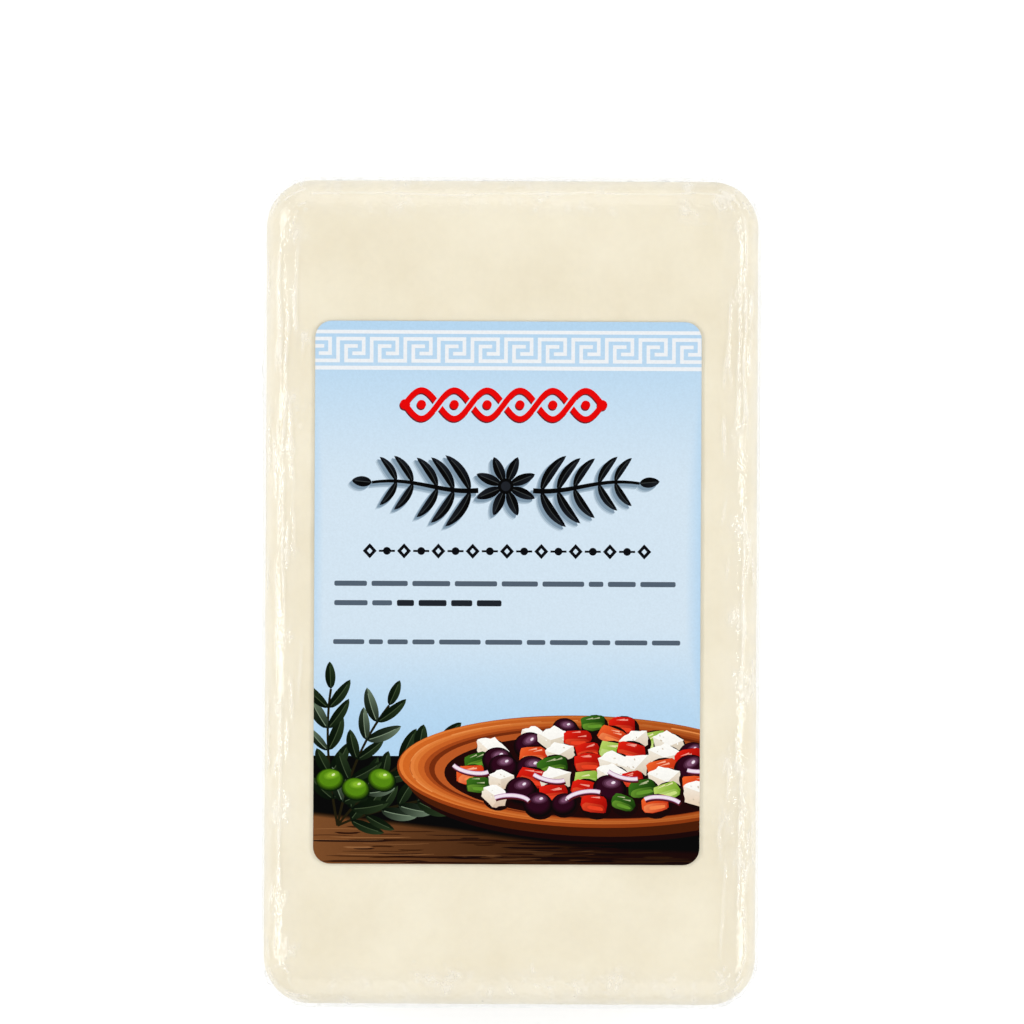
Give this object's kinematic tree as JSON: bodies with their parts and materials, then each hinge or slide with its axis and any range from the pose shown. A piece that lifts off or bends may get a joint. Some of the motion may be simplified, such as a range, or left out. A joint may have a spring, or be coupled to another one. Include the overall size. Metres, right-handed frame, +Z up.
{
  "type": "feta block",
  "caption": "Long block of feta with rounded edges, sealed in tight clear film whose ends are folded down flat, with a printed label on its top face.",
  "frame": {"origin": "middle of the underside, on the surface that the pack lies on", "axes": "+X across the label to its right, +Y along the loaf to the label's top, +Z up through the label"},
  "size_m": [0.1634, 0.2746, 0.0882],
  "materials": {
    "film": "glossy clear film, drawn tight and finely creased along the edges",
    "cheese": "moist cream-coloured cheese, faintly mottled",
    "label": "satin printed paper"
  },
  "bodies": {
    "root": {"bag": "film", "label": "label"}
  },
  "joints": []
}
